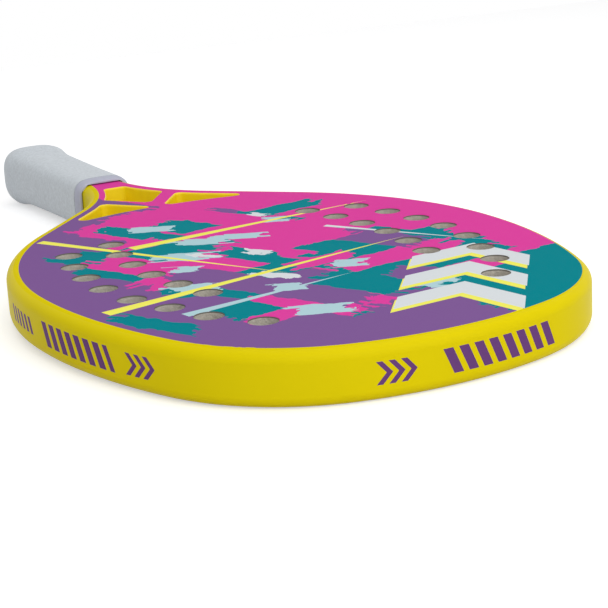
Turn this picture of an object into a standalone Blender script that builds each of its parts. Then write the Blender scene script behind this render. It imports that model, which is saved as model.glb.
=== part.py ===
"""Beach tennis racket, as the separate pieces it is bonded from.

The racket lies flat: +X runs from the butt to the tip and +Z is up through the faces. The +Y half mirrors the
other. The origin is the centre of its box. Its outline is one chain of tangent arcs from the tip to the handle,
and every other outline (the tube's inner edge, the faces, the foam) is that chain set in by a fixed distance.
"""

import math

import bmesh
import bpy
from mathutils import Vector

MM = 0.001

# Overall sizes
LENGTH = 486 * MM
THICKNESS = 23 * MM
HALF_THICKNESS = THICKNESS / 2
GAP = 0.3 * MM
OVERRUN = 5 * MM
WELD_DISTANCE = 0.01 * MM
SHARP_ANGLE = math.radians(35)
HALVINGS = 40

# The outline, from the tip to the handle: radius and sweep of each arc
TIP_RADIUS, TIP_SWEEP = 166 * MM, math.radians(15.3)
SHOULDER_RADIUS, SHOULDER_SWEEP = 87.2 * MM, math.radians(52)
SIDE_RADIUS = 251 * MM
LOWER_RADIUS, TAPER_ANGLE = 165 * MM, math.radians(43.4)
NECK_RADIUS = 98 * MM
HANDLE_HALF_WIDTH = 13 * MM
ARC_STEP = math.radians(5.5)

# The rim tube's section
TUBE_WIDTH = 10 * MM
TUBE_WALL = 1.3 * MM
RIM_ROUNDING = 5 * MM
ROUNDING_STEPS = 4
BORE_CHAMFER = 3 * MM
TUBE_END_X = -236 * MM

# The faces, set into a recess of the tube and the yoke
FACE_THICKNESS = 0.8 * MM
FACE_BORDER = 6 * MM
FACE_END_MARGIN = 4 * MM
RECESS_DEPTH = FACE_THICKNESS + GAP

# The yoke: a bridge on an arc about BRIDGE_CENTRE, and two struts that meet on the centre line. The windows beside
# it, and the one between it and the handle, have filleted corners and rounded edges.
BRIDGE_CENTRE = Vector((123 * MM, 0))
BRIDGE_RADIUS = 165 * MM
BRIDGE_WIDTH = 10 * MM
BRIDGE_STEP = math.radians(3)
STRUT_CENTRE = Vector((-46 * MM, 0))
STRUT_ANGLE = math.radians(37)
STRUT_WIDTH = 9.2 * MM
YOKE_END_X = -85 * MM
WINDOW_END_X = -103.5 * MM
WINDOW_FILLET = 3 * MM
FILLET_STEP = math.radians(30)
WINDOW_ROUNDING = 2 * MM
ROUNDING_SHORTFALL = 0.02 * MM

# Drilled holes: centres in millimetres on one side of the centre line, an outer row and an inner row
HOLE_RADIUS = 6.4 * MM
HOLE_SIDES = 16
OUTER_ROW = ((30, 78.5), (51.5, 84), (73.5, 87), (96, 88), (120, 85), (142, 77.5), (163.5, 70), (184, 56))
INNER_ROW = ((22.5, 54), (43.5, 58.5), (65, 61), (87.5, 61.5), (110, 59), (131.5, 55))

# Handle stations in millimetres: place along X, half width, half height and, on an eight-sided section, the cut
# of its corners
CORE_END_X = -228 * MM
PALLETS = ((-235.8, 15.7, 13.9, 5), (-220, 15.6, 13.8, 5), (-121.3, 14.3, 12.6, 3.8))
PALLET_CAVITY = (13.5 * MM, 11.8 * MM, 3.2 * MM)

# Butt cap: its outside, the hollow that takes the pallets, and the wrist cord's hole
CAP_OUTSIDE = (
    (-243, 14.6, 12.6, 6),
    (-242.2, 15.3, 13.3, 6),
    (-239, 15.6, 13.6, 6),
    (-236.5, 17.2, 15.2, 6.3),
    (-234, 17.9, 15.9, 6.5),
    (-228, 17.9, 15.9, 6.5),
    (-217, 16.6, 14.7, 5.5),
)
CAP_HOLLOW = ((-236.5, 16.1, 14.3, 5), (-208, 15.9, 14.1, 5))
CORD_HOLE_RADIUS = 3.5 * MM
CORD_HOLE_LENGTH = 30 * MM
CORD_HOLE_SIDES = 24

# Grip and collar
GRIP_OUTSIDE = (
    (-241.6, 17.2, 15.3),
    (-240.2, 18.3, 16.3),
    (-237, 19.4, 17.4),
    (-232, 20.0, 17.9),
    (-227, 19.8, 17.8),
    (-222, 19.0, 17.0),
    (-217, 18.0, 16.1),
    (-211, 17.2, 15.3),
    (-165, 16.8, 14.9),
    (-124.5, 16.6, 14.8),
)
GRIP_INSIDE = (
    (-248, 15.9, 13.9, 6),
    (-239, 15.9, 13.9, 6),
    (-236.5, 17.5, 15.5, 6.3),
    (-234, 18.2, 16.2, 6.5),
    (-228, 18.2, 16.2, 6.5),
    (-216.7, 16.9, 15.0, 5.5),
    (-216.6, 15.9, 14.1, 5),
    (-120, 14.6, 12.9, 4),
)
COLLAR_OUTSIDE = ((-124.2, 16.5, 14.7), (-121, 16.3, 14.5), (-118.6, 15.7, 13.9), (-118, 15.3, 13.4))
COLLAR_SEAT = ((-126, 14.7, 13.0, 4), (-121, 14.6, 12.9, 4))
COLLAR_MOUTH = ((-122, 14.0, 12.2, 3.5), (-110, 14.0, 12.2, 3.5))
SOFT_SIDES = 32
FLARE_SQUARENESS, FLARE_X = 3.4, -232 * MM
SHAFT_SQUARENESS, SHAFT_X = 3.8, -222 * MM

# Screws that hold the cap: half profile as radius and height below the head's top
SCREW_X = -224 * MM
SCREW_TOP_Z = 15.1 * MM
SCREW_PROFILE = ((0, 0), (2.6, 0), (2.6, 0.5), (1.1, 1.9), (1.1, 9.5), (0, 10.4))
SCREW_STEPS = 12


def normal_at(angle):
    return Vector((math.cos(angle), math.sin(angle)))


def station(point, angle):
    """A point of an outline with its outward normal's angle, as one vector."""
    return Vector((point.x, point.y, angle))


def rim_stations():
    """Stations of the outer edge on the +Y side, tip to butt."""
    side_sweep = math.pi / 2 - TIP_SWEEP - SHOULDER_SWEEP
    arcs = (
        (TIP_RADIUS, TIP_SWEEP),
        (SHOULDER_RADIUS, SHOULDER_SWEEP),
        (SIDE_RADIUS, side_sweep),
        (LOWER_RADIUS, TAPER_ANGLE),
    )
    centre = Vector((LENGTH / 2 - TIP_RADIUS, 0))
    angle = 0.0
    stations = [Vector((LENGTH / 2, 0, angle))]
    for (radius, sweep), (next_radius, _) in zip(arcs, arcs[1:] + (arcs[-1],)):
        count = math.ceil(sweep / ARC_STEP)
        for step in range(1, count + 1):
            at = angle + sweep * step / count
            stations.append(station(centre + radius * normal_at(at), at))
        angle += sweep
        centre = centre + (radius - next_radius) * normal_at(angle)
    taper_start = stations[-1].xy
    neck_start_y = HANDLE_HALF_WIDTH + NECK_RADIUS * (1 - math.sin(angle))
    taper_length = (taper_start.y - neck_start_y) / -math.cos(angle)
    heading = Vector((-math.sin(angle), math.cos(angle)))
    neck_centre = taper_start + taper_length * heading + NECK_RADIUS * normal_at(angle)
    count = math.ceil(TAPER_ANGLE / ARC_STEP)
    for step in range(count + 1):
        at = angle - TAPER_ANGLE * step / count
        stations.append(station(neck_centre - NECK_RADIUS * normal_at(at), at))
    stations.append(Vector((TUBE_END_X, HANDLE_HALF_WIDTH, math.pi / 2)))
    return stations


def moved(stations, distance):
    """The stations, moved outwards along their normals."""
    return [station(at.xy + distance * normal_at(at.z), at.z) for at in stations]


def rim_inset(inset):
    """The outline on the +Y side, moved inwards."""
    return moved(rim_stations(), -inset)


def crossing(inner, outer, side):
    """The point between two points where side changes sign, found by halving."""
    for _ in range(HALVINGS):
        middle = (inner + outer) / 2
        if side(middle) > 0:
            inner = middle
        else:
            outer = middle
    return inner


def kept(points, side):
    """The stretch of a line of points where side is positive, cut exactly at its ends."""
    result = []
    for before, after in zip(points, points[1:]):
        before_in, after_in = side(before) > 0, side(after) > 0
        if before_in and not result:
            result.append(before)
        if after_in and not before_in:
            result.append(crossing(after, before, side))
        if before_in and not after_in:
            result.append(crossing(before, after, side))
        if after_in:
            result.append(after)
    return result


def mirrored(half):
    """A closed outline from its +Y half, which starts and ends at the centre line."""
    return half + [Vector((at.x, -at.y, -at.z)) for at in reversed(half) if at.y > WELD_DISTANCE]


def bridge_arc(radius, from_point):
    """Stations on a circle about the bridge's centre, from from_point's angle round to the centre line."""
    start = (from_point.xy - BRIDGE_CENTRE).angle_signed(Vector((1, 0)))
    count = math.ceil((math.pi - start) / BRIDGE_STEP)
    angles = [start + (math.pi - start) * step / count for step in range(count + 1)]
    stations = [station(BRIDGE_CENTRE + radius * normal_at(angle), angle) for angle in angles]
    stations[-1].y = 0
    return stations


def inside_bridge(radius):
    """Positive inside the circle of this radius about the bridge's centre."""
    return lambda at: radius - (at.xy - BRIDGE_CENTRE).length


def outside_bridge(radius):
    """Positive beyond that circle, towards the handle."""
    return lambda at: (at.xy - BRIDGE_CENTRE).length - radius


def past_strut(offset):
    """Positive on the tip's side of a line along the +Y strut, offset from its middle towards the tip."""
    across = Vector((math.sin(STRUT_ANGLE), math.cos(STRUT_ANGLE)))
    return lambda at: (at.xy - STRUT_CENTRE).dot(across) - offset


def before_strut(offset):
    """Positive on the handle's side of such a line."""
    return lambda at: -past_strut(offset)(at)


def head_outline(inset, radius):
    """The closed outline of the head, set in from the rim and closed by an arc across the throat."""
    side = kept(rim_inset(inset), inside_bridge(radius))
    return mirrored(side + bridge_arc(radius, side[-1])[1:])


def yoke_outline():
    """The plate that the yoke is before its windows are cut, clear of the tube."""
    inner_radius = BRIDGE_RADIUS - BRIDGE_WIDTH
    side = kept(rim_inset(TUBE_WIDTH + GAP), outside_bridge(inner_radius))
    side = kept(side, lambda at: at.x - YOKE_END_X)
    inner_arc = list(reversed(bridge_arc(inner_radius, side[0])))
    return mirrored(inner_arc[:-1] + side + [Vector((YOKE_END_X, 0, math.pi))])


def handle_core_outline():
    """The filler between the two legs of the tube, from inside the middle window to the cord's knot."""
    front_x = WINDOW_END_X + WINDOW_FILLET
    edge = kept(rim_inset(TUBE_WIDTH + GAP), lambda at: front_x - at.x)
    edge = kept(edge, lambda at: at.x - CORE_END_X)
    return mirrored([Vector((front_x, 0, 0))] + edge + [Vector((CORE_END_X, 0, math.pi))])


def side_window():
    """The sides of the +Y window between tube, strut and bridge, set in by the fillets' radius."""
    strut_normal = math.pi * 1.5 - STRUT_ANGLE
    tube = kept(rim_inset(TUBE_WIDTH + WINDOW_FILLET), outside_bridge(BRIDGE_RADIUS + WINDOW_FILLET))
    tube = kept(tube, past_strut(STRUT_WIDTH / 2 + WINDOW_FILLET))
    bridge = bridge_arc(BRIDGE_RADIUS + WINDOW_FILLET, tube[0])
    bridge = kept(bridge, past_strut(STRUT_WIDTH / 2 + WINDOW_FILLET))
    strut = [station(tube[-1], strut_normal), station(bridge[-1], strut_normal)]
    return [tube, strut, [station(at, at.z + math.pi) for at in reversed(bridge)]]


def middle_window():
    """The sides of the window between the struts, the tube and the handle, set in likewise."""
    strut_normal = math.pi / 2 - STRUT_ANGLE
    edge = STRUT_WIDTH / 2 + WINDOW_FILLET
    tube = kept(rim_inset(TUBE_WIDTH + WINDOW_FILLET), before_strut(-edge))
    tube = kept(tube, lambda at: at.x - WINDOW_END_X - WINDOW_FILLET)
    apex = Vector((STRUT_CENTRE.x - edge / math.sin(STRUT_ANGLE), 0))
    strut = [station(apex, strut_normal), station(tube[0], strut_normal)]
    other_tube = [Vector((at.x, -at.y, -at.z)) for at in reversed(tube)]
    other_strut = [Vector((at.x, -at.y, -at.z)) for at in reversed(strut)]
    end = [station(tube[-1], math.pi), station(other_tube[0], math.pi)]
    return [strut, tube, end, other_tube, other_strut]


def filleted(sides):
    """One closed run of stations along the sides, whose normal turns on the spot at each corner."""
    loop = []
    for side, following in zip(sides, sides[1:] + sides[:1]):
        loop += side
        turn = (following[0].z - side[-1].z) % math.tau
        count = math.ceil(turn / FILLET_STEP)
        for step in range(1, count):
            loop.append(station(side[-1], side[-1].z + turn * step / count))
    return loop


def window_cutter(name, sides, mirror, target):
    """A window right through the throat, flared at both faces to round its edges."""
    loop = filleted(sides)
    levels = [(HALF_THICKNESS + OVERRUN, WINDOW_ROUNDING)]
    for step in range(ROUNDING_STEPS + 1):
        angle = math.pi / 2 * step / ROUNDING_STEPS
        flare = WINDOW_ROUNDING * (1 - math.sin(angle))
        levels.append((HALF_THICKNESS - WINDOW_ROUNDING * (1 - math.cos(angle)), flare))
    levels[-1] = (levels[-1][0], -ROUNDING_SHORTFALL)
    levels += [(-height, flare) for height, flare in reversed(levels)]
    rings = []
    for height, flare in levels:
        ring = moved(loop, WINDOW_FILLET + flare)
        rings.append([(at.x, mirror * at.y, height) for at in ring])
    return loft(name, rings, target)


def material(name, colour, roughness):
    """A painted, moulded or foamed plastic, from an sRGB colour."""
    made = bpy.data.materials.new(name)
    made.use_nodes = True
    linear = [(part / 12.92 if part <= 0.04045 else ((part + 0.055) / 1.055) ** 2.4) for part in colour]
    shader = made.node_tree.nodes["Principled BSDF"]
    shader.inputs["Base Color"].default_value = (*linear, 1)
    shader.inputs["Roughness"].default_value = roughness
    made.diffuse_color = (*linear, 1)
    return made


def collection(name):
    made = bpy.data.collections.new(name)
    bpy.context.scene.collection.children.link(made)
    return made


def add_object(name, data, target):
    made = bpy.data.objects.new(name, data)
    target.objects.link(made)
    return made


def flat_curve(name, points, bottom, top, target):
    """A flat outline filled and extruded from bottom to top."""
    curve = bpy.data.curves.new(name, "CURVE")
    curve.dimensions = "2D"
    curve.fill_mode = "BOTH"
    curve.extrude = (top - bottom) / 2
    spline = curve.splines.new("POLY")
    spline.points.add(len(points) - 1)
    for slot, point in zip(spline.points, points):
        slot.co = (point.x, point.y, 0, 1)
    spline.use_cyclic_u = True
    made = add_object(name, curve, target)
    made.location.z = (bottom + top) / 2
    return made


def as_mesh(source, target):
    """The same shape as a mesh with its caps welded on, so that it can be cut. The curve is removed."""
    name = source.name
    bpy.context.view_layer.update()
    graph = bpy.context.evaluated_depsgraph_get()
    mesh = bpy.data.meshes.new_from_object(source.evaluated_get(graph))
    place = source.matrix_world.copy()
    bpy.data.objects.remove(source)
    clean = bmesh.new()
    clean.from_mesh(mesh)
    bmesh.ops.remove_doubles(clean, verts=clean.verts, dist=WELD_DISTANCE)
    bmesh.ops.recalc_face_normals(clean, faces=clean.faces)
    clean.to_mesh(mesh)
    clean.free()
    mesh.name = name
    made = add_object(name, mesh, target)
    made.matrix_world = place
    return made


def prism(name, points, bottom, top, target):
    return as_mesh(flat_curve(name, points, bottom, top, target), target)


def section_curve(name, points, guides):
    """A closed outline in its own plane, which a path carries along as its section."""
    curve = bpy.data.curves.new(name, "CURVE")
    curve.dimensions = "2D"
    spline = curve.splines.new("POLY")
    spline.points.add(len(points) - 1)
    for slot, (across, up) in zip(spline.points, points):
        slot.co = (across, up, 0, 1)
    spline.use_cyclic_u = True
    made = add_object(name, curve, guides)
    made.hide_render = True
    made.display_type = "WIRE"
    return made


def swept_rim(name, section, overrun, target):
    """A section carried round the whole rim, from one leg's end to the other's."""
    side = rim_inset(0)
    side[-1].x -= overrun
    path = list(reversed(side)) + [Vector((point.x, -point.y)) for point in side[1:]]
    curve = bpy.data.curves.new(name, "CURVE")
    curve.dimensions = "3D"
    curve.twist_mode = "Z_UP"
    curve.bevel_mode = "OBJECT"
    curve.bevel_object = section
    curve.use_fill_caps = True
    spline = curve.splines.new("POLY")
    spline.points.add(len(path) - 1)
    for slot, point in zip(spline.points, path):
        slot.co = (point.x, point.y, 0, 1)
    return as_mesh(add_object(name, curve, target), target)


def rim_section():
    """The tube's outside, square towards the foam. Across is measured inwards from the outer edge."""
    lift = HALF_THICKNESS - RIM_ROUNDING
    points = [(TUBE_WIDTH, HALF_THICKNESS), (TUBE_WIDTH, -HALF_THICKNESS)]
    for turn, middle in ((math.pi * 1.5, -lift), (math.pi, lift)):
        for step in range(ROUNDING_STEPS + 1):
            angle = turn - math.pi / 2 * step / ROUNDING_STEPS
            across = RIM_ROUNDING * (1 + math.cos(angle))
            points.append((across, middle + RIM_ROUNDING * math.sin(angle)))
    return points


def bore_section():
    """The tube's hollow: a long octagon, low enough to leave a wall under the faces' recess."""
    near, far = TUBE_WALL, TUBE_WIDTH - TUBE_WALL
    top = HALF_THICKNESS - RECESS_DEPTH - TUBE_WALL
    cut = BORE_CHAMFER
    upper = [(near, top - cut), (near + cut, top), (far - cut / 2, top), (far, top - cut / 2)]
    return upper + [(across, -up) for across, up in reversed(upper)]


def loft(name, rings, target):
    """A skin over rings of equally many points, with flat ends."""
    form = bmesh.new()
    rows = [[form.verts.new(point) for point in ring] for ring in rings]
    for row, following in zip(rows, rows[1:]):
        for index, vertex in enumerate(row):
            after = (index + 1) % len(row)
            form.faces.new((vertex, row[after], following[after], following[index]))
    form.faces.new(rows[0])
    form.faces.new(rows[-1])
    bmesh.ops.recalc_face_normals(form, faces=form.faces)
    mesh = bpy.data.meshes.new(name)
    form.to_mesh(mesh)
    form.free()
    return add_object(name, mesh, target)


def octagon_ring(x, half_width, half_height, chamfer):
    """A handle section with eight flats."""
    corner = [(half_width, half_height - chamfer), (half_width - chamfer, half_height)]
    quarter_turns = corner + [(-across, up) for across, up in reversed(corner)]
    around = quarter_turns + [(across, -up) for across, up in reversed(quarter_turns)]
    return [(x, across, up) for across, up in around]


def soft_ring(x, half_width, half_height):
    """A padded handle section: an oval, squarer on the shaft, where the flats beneath it show through."""
    ring = []
    along = min(max((x - FLARE_X) / (SHAFT_X - FLARE_X), 0), 1)
    power = 2 / (FLARE_SQUARENESS + (SHAFT_SQUARENESS - FLARE_SQUARENESS) * along)
    for index in range(SOFT_SIDES):
        angle = math.tau * index / SOFT_SIDES
        across, up = math.cos(angle), math.sin(angle)
        ring.append(
            (
                x,
                half_width * math.copysign(abs(across) ** power, across),
                half_height * math.copysign(abs(up) ** power, up),
            )
        )
    return ring


def handle_loft(name, stations, ring, target):
    """A loft along the handle, through stations given in millimetres."""
    rings = [ring(*(size * MM for size in station)) for station in stations]
    return loft(name, rings, target)


def box(name, low, high, target):
    form = bmesh.new()
    bmesh.ops.create_cube(form, size=1)
    low, high = Vector(low), Vector(high)
    for vertex in form.verts:
        vertex.co = [low[i] + (vertex.co[i] + 0.5) * (high[i] - low[i]) for i in range(3)]
    mesh = bpy.data.meshes.new(name)
    form.to_mesh(mesh)
    form.free()
    return add_object(name, mesh, target)


def hole_cutter(target):
    """All the drills at once, mirrored about the centre line."""
    form = bmesh.new()
    for row in (OUTER_ROW, INNER_ROW):
        for x, y in row:
            for side in (1, -1):
                made = bmesh.ops.create_cone(
                    form,
                    cap_ends=True,
                    segments=HOLE_SIDES,
                    radius1=HOLE_RADIUS,
                    radius2=HOLE_RADIUS,
                    depth=THICKNESS + 2 * OVERRUN,
                )
                bmesh.ops.translate(form, verts=made["verts"], vec=(x * MM, side * y * MM, 0))
    mesh = bpy.data.meshes.new("drills")
    form.to_mesh(mesh)
    form.free()
    return add_object("drills", mesh, target)


def cord_hole_cutter(target):
    """A round cutter along X through the cap's plate."""
    form = bmesh.new()
    bmesh.ops.create_cone(
        form,
        cap_ends=True,
        segments=CORD_HOLE_SIDES,
        radius1=CORD_HOLE_RADIUS,
        radius2=CORD_HOLE_RADIUS,
        depth=CORD_HOLE_LENGTH,
    )
    mesh = bpy.data.meshes.new("cord_hole")
    form.to_mesh(mesh)
    form.free()
    made = add_object("cord_hole", mesh, target)
    made.rotation_euler.y = math.pi / 2
    made.location.x = CAP_OUTSIDE[0][0] * MM
    return made


def screw(name, side, clearance, target):
    """A countersunk screw pointing at the centre line, or with a clearance the hole that it sits in."""
    mesh = bpy.data.meshes.new(name)
    lift = clearance * 2
    profile = []
    for radius, height in SCREW_PROFILE:
        profile.append((radius * MM + (clearance if radius else 0), -height * MM))
    profile[0] = (0, lift)
    profile[1] = (profile[1][0], lift)
    profile[-1] = (0, profile[-1][1] - clearance)
    edges = [(index, index + 1) for index in range(len(profile) - 1)]
    mesh.from_pydata([(radius, 0, height) for radius, height in profile], edges, [])
    made = add_object(name, mesh, target)
    turn = made.modifiers.new("turn", "SCREW")
    turn.steps = turn.render_steps = SCREW_STEPS
    turn.use_merge_vertices = True
    turn.merge_threshold = WELD_DISTANCE
    made.location = (SCREW_X, 0, side * SCREW_TOP_Z)
    if side < 0:
        made.rotation_euler.x = math.pi
    return made


def boolean(piece, cutter, operation="DIFFERENCE"):
    cut = piece.modifiers.new(f"{operation.lower()} {cutter.name}", "BOOLEAN")
    cut.operation = operation
    cut.object = cutter


def finish(piece, finish_material, parent):
    """Gives a finished piece its material and its place under the racket's empty."""
    piece.data.materials.clear()
    piece.data.materials.append(finish_material)
    piece.parent = parent
    piece.data.shade_smooth()
    if hasattr(piece.data, "set_sharp_from_angle"):
        piece.data.set_sharp_from_angle(angle=SHARP_ANGLE)


def build_frame_tube(parts, cutters, recesses, windows):
    tube = swept_rim("frame_tube", section_curve("rim_section", rim_section(), cutters), 0, parts)
    bore = swept_rim("tube_bore", section_curve("bore_section", bore_section(), cutters), OVERRUN, cutters)
    for cutter in (bore, *recesses, *windows):
        boolean(tube, cutter)
    return tube


def build_throat_yoke(parts, recesses, windows):
    yoke = prism("throat_yoke", yoke_outline(), -HALF_THICKNESS, HALF_THICKNESS, parts)
    for cutter in (*recesses, *windows):
        boolean(yoke, cutter)
    return yoke


def build_faces(parts, drills):
    outline = head_outline(FACE_BORDER + GAP, BRIDGE_RADIUS - FACE_END_MARGIN - GAP)
    inner, outer = HALF_THICKNESS - FACE_THICKNESS, HALF_THICKNESS
    top = prism("face_top", outline, inner, outer, parts)
    bottom = prism("face_bottom", outline, -outer, -inner, parts)
    for face in (top, bottom):
        boolean(face, drills)
    return top, bottom


def build_foam_core(parts, drills):
    outline = head_outline(TUBE_WIDTH + GAP, BRIDGE_RADIUS - BRIDGE_WIDTH - GAP)
    height = HALF_THICKNESS - RECESS_DEPTH
    core = prism("foam_core", outline, -height, height, parts)
    boolean(core, drills)
    return core


def build_handle_core(parts, screw_holes, window):
    core = prism("handle_core", handle_core_outline(), -HALF_THICKNESS, HALF_THICKNESS, parts)
    for cutter in (*screw_holes, window):
        boolean(core, cutter)
    return core


def build_pallets(parts, cutters, screw_holes):
    """The two half shells that thicken the tube's legs to an octagon."""
    low, high = PALLETS[0][0] * MM - OVERRUN, PALLETS[-1][0] * MM + OVERRUN
    cavity = loft("pallet_cavity", [octagon_ring(x, *PALLET_CAVITY) for x in (low, high)], cutters)
    reach = 2 * PALLETS[0][1] * MM
    pallets = []
    halves = (("handle_pallet_top", 1), ("handle_pallet_bottom", -1))
    for (name, side), hole in zip(halves, screw_holes):
        pallet = handle_loft(name, PALLETS, octagon_ring, parts)
        bottom, top = sorted((-side * reach, side * GAP / 2))
        other_half = box(f"{name}_other_half", (low, -reach, bottom), (high, reach, top), cutters)
        for cutter in (cavity, other_half, hole):
            boolean(pallet, cutter)
        pallets.append(pallet)
    return pallets


def build_butt_cap(parts, cutters, screw_holes):
    cap = handle_loft("butt_cap", CAP_OUTSIDE, octagon_ring, parts)
    hollow = handle_loft("cap_hollow", CAP_HOLLOW, octagon_ring, cutters)
    for cutter in (hollow, cord_hole_cutter(cutters), *screw_holes):
        boolean(cap, cutter)
    return cap


def build_grip(parts, cutters):
    grip = handle_loft("base_grip", GRIP_OUTSIDE, soft_ring, parts)
    inside = handle_loft("grip_inside", GRIP_INSIDE, octagon_ring, cutters)
    boolean(grip, inside)
    return grip


def build_collar(parts, cutters):
    collar = handle_loft("grip_collar", COLLAR_OUTSIDE, soft_ring, parts)
    seat = handle_loft("collar_seat", COLLAR_SEAT, octagon_ring, cutters)
    mouth = handle_loft("collar_mouth", COLLAR_MOUTH, octagon_ring, cutters)
    boolean(collar, seat)
    boolean(collar, mouth)
    return collar


def main():
    for old in list(bpy.data.objects):
        bpy.data.objects.remove(old)
    parts = collection("beach_tennis_racket")
    cutters = collection("cutters")
    racket = add_object("racket", None, parts)

    yellow = material("yellow painted laminate", (0.95, 0.85, 0.15), 0.35)
    printed = material("printed laminate", (0.88, 0.25, 0.62), 0.3)
    eva = material("grey EVA foam", (0.66, 0.64, 0.6), 0.9)
    dense_foam = material("polyurethane foam", (0.85, 0.8, 0.66), 0.85)
    nylon = material("moulded nylon", (0.82, 0.84, 0.86), 0.5)
    padding = material("polyurethane grip", (0.8, 0.83, 0.85), 0.6)
    rubber = material("grey rubber", (0.68, 0.71, 0.77), 0.7)
    steel = material("zinc plated steel", (0.75, 0.75, 0.75), 0.35)
    steel.node_tree.nodes["Principled BSDF"].inputs["Metallic"].default_value = 1

    drills = hole_cutter(cutters)
    recess_outline = head_outline(FACE_BORDER, BRIDGE_RADIUS - FACE_END_MARGIN)
    floor = HALF_THICKNESS - RECESS_DEPTH
    recesses = (
        prism("recess_top", recess_outline, floor, floor + OVERRUN, cutters),
        prism("recess_bottom", recess_outline, -floor - OVERRUN, -floor, cutters),
    )
    middle = window_cutter("middle_window", middle_window(), 1, cutters)
    left = window_cutter("left_window", side_window(), 1, cutters)
    right = window_cutter("right_window", side_window(), -1, cutters)
    windows = (middle, left, right)
    screw_holes = [screw("screw_hole_top", 1, GAP, cutters), screw("screw_hole_bottom", -1, GAP, cutters)]

    tube = build_frame_tube(parts, cutters, recesses, windows)
    yoke = build_throat_yoke(parts, recesses, windows)
    handle_core = build_handle_core(parts, screw_holes, middle)
    finished = [(tube, yellow), (yoke, yellow), (handle_core, yellow)]
    finished += [(face, printed) for face in build_faces(parts, drills)]
    finished.append((build_foam_core(parts, drills), eva))
    finished += [(pallet, dense_foam) for pallet in build_pallets(parts, cutters, screw_holes)]
    finished.append((build_butt_cap(parts, cutters, screw_holes), nylon))
    finished.append((build_grip(parts, cutters), padding))
    finished.append((build_collar(parts, cutters), rubber))
    for name, side in (("butt_screw_top", 1), ("butt_screw_bottom", -1)):
        finished.append((screw(name, side, 0, parts), steel))
    for piece, piece_material in finished:
        finish(piece, piece_material, racket)
    for cutter in cutters.objects:
        cutter.hide_render = True
        cutter.display_type = "WIRE"


if __name__ == "__main__":
    main()
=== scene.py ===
"""The looks of a beach tennis racket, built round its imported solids.

The racket lies face up: +X runs from the butt to the tip and +Z is up through the faces. One
painted shell stands for the rim tube with the throat, two printed skins for the laminate faces
and one drilled slab for the foam core. Their outlines are insets of one chain of arcs, so their
edges meet exactly. The grip and its collar are lofted.
"""

import math
import random

import bmesh
import bpy
from mathutils import Matrix, Vector


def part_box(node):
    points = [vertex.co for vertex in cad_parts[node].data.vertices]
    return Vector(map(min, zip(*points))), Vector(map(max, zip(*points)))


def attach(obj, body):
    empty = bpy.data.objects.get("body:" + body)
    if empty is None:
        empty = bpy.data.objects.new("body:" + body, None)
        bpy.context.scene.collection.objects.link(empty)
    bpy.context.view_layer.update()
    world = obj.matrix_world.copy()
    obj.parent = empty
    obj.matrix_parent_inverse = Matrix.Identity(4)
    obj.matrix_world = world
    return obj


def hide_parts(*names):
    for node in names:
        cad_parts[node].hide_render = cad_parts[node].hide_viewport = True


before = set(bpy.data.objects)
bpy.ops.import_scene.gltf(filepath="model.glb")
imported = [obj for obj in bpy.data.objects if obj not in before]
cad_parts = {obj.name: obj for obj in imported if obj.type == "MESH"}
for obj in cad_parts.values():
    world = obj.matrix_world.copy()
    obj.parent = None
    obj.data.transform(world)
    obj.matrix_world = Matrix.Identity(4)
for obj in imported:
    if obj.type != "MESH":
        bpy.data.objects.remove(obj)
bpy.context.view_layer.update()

bl_info = {
    "name": "Beach tennis racket",
    "version": (1, 0, 0),
    "blender": (4, 5, 0),
    "location": "View3D > Sidebar > Racket",
    "description": "Builds the painted, printed and padded surfaces of a beach tennis racket",
    "category": "Object",
}

MM = 0.001
TUBE_LOW, TUBE_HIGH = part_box("frame_tube")
HALF_THICKNESS = TUBE_HIGH.z
TIP_X = TUBE_HIGH.x
LEG_END_X = TUBE_LOW.x
HANDLE_CORE_END_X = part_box("handle_core")[0].x
WELD = 0.002 * MM
SHARP_ANGLE = math.radians(32)
SUPPORT = 0.4 * MM
SOFT_EDGE = 0.25 * MM

# The outline, from the tip to the handle: radius and sweep of each arc
TIP_RADIUS, TIP_SWEEP = 166 * MM, math.radians(15.3)
SHOULDER_RADIUS, SHOULDER_SWEEP = 87.2 * MM, math.radians(52)
SIDE_RADIUS = 251 * MM
LOWER_RADIUS, TAPER_ANGLE = 165 * MM, math.radians(43.4)
NECK_RADIUS = 98 * MM
HANDLE_HALF_WIDTH = 13 * MM
ARC_STEP = math.radians(1)
HALVINGS = 40
ROUNDING_STEPS = 10

# The throat: a bridge on an arc, two struts and three windows
BRIDGE_CENTRE = Vector((123 * MM, 0))
BRIDGE_RADIUS = 165 * MM
BRIDGE_STEP = math.radians(0.7)
FACE_END_MARGIN = 4 * MM
STRUT_CENTRE = Vector((-46 * MM, 0))
STRUT_ANGLE = math.radians(37)
STRUT_WIDTH = 9.2 * MM
WINDOW_END_X = -103.5 * MM
FILLET_STEP = math.radians(6)
WINDOW_STEPS = 6
SCREW_X = -224 * MM
SCREW_HOLE_RADIUS = 2.9 * MM

# Drilled holes: centres in millimetres on one side of the centre line, an outer and an inner row
OUTER_ROW = (
    (30, 78.5), (51.5, 84), (73.5, 87), (96, 88), (120, 85), (142, 77.5), (163.5, 70), (184, 56),
)
INNER_ROW = ((22.5, 54), (43.5, 58.5), (65, 61), (87.5, 61.5), (110, 59), (131.5, 55))
HOLE_SIDES = 56
HOLE_EDGE = 0.2 * MM
FOAM_LEVELS = 6

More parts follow.
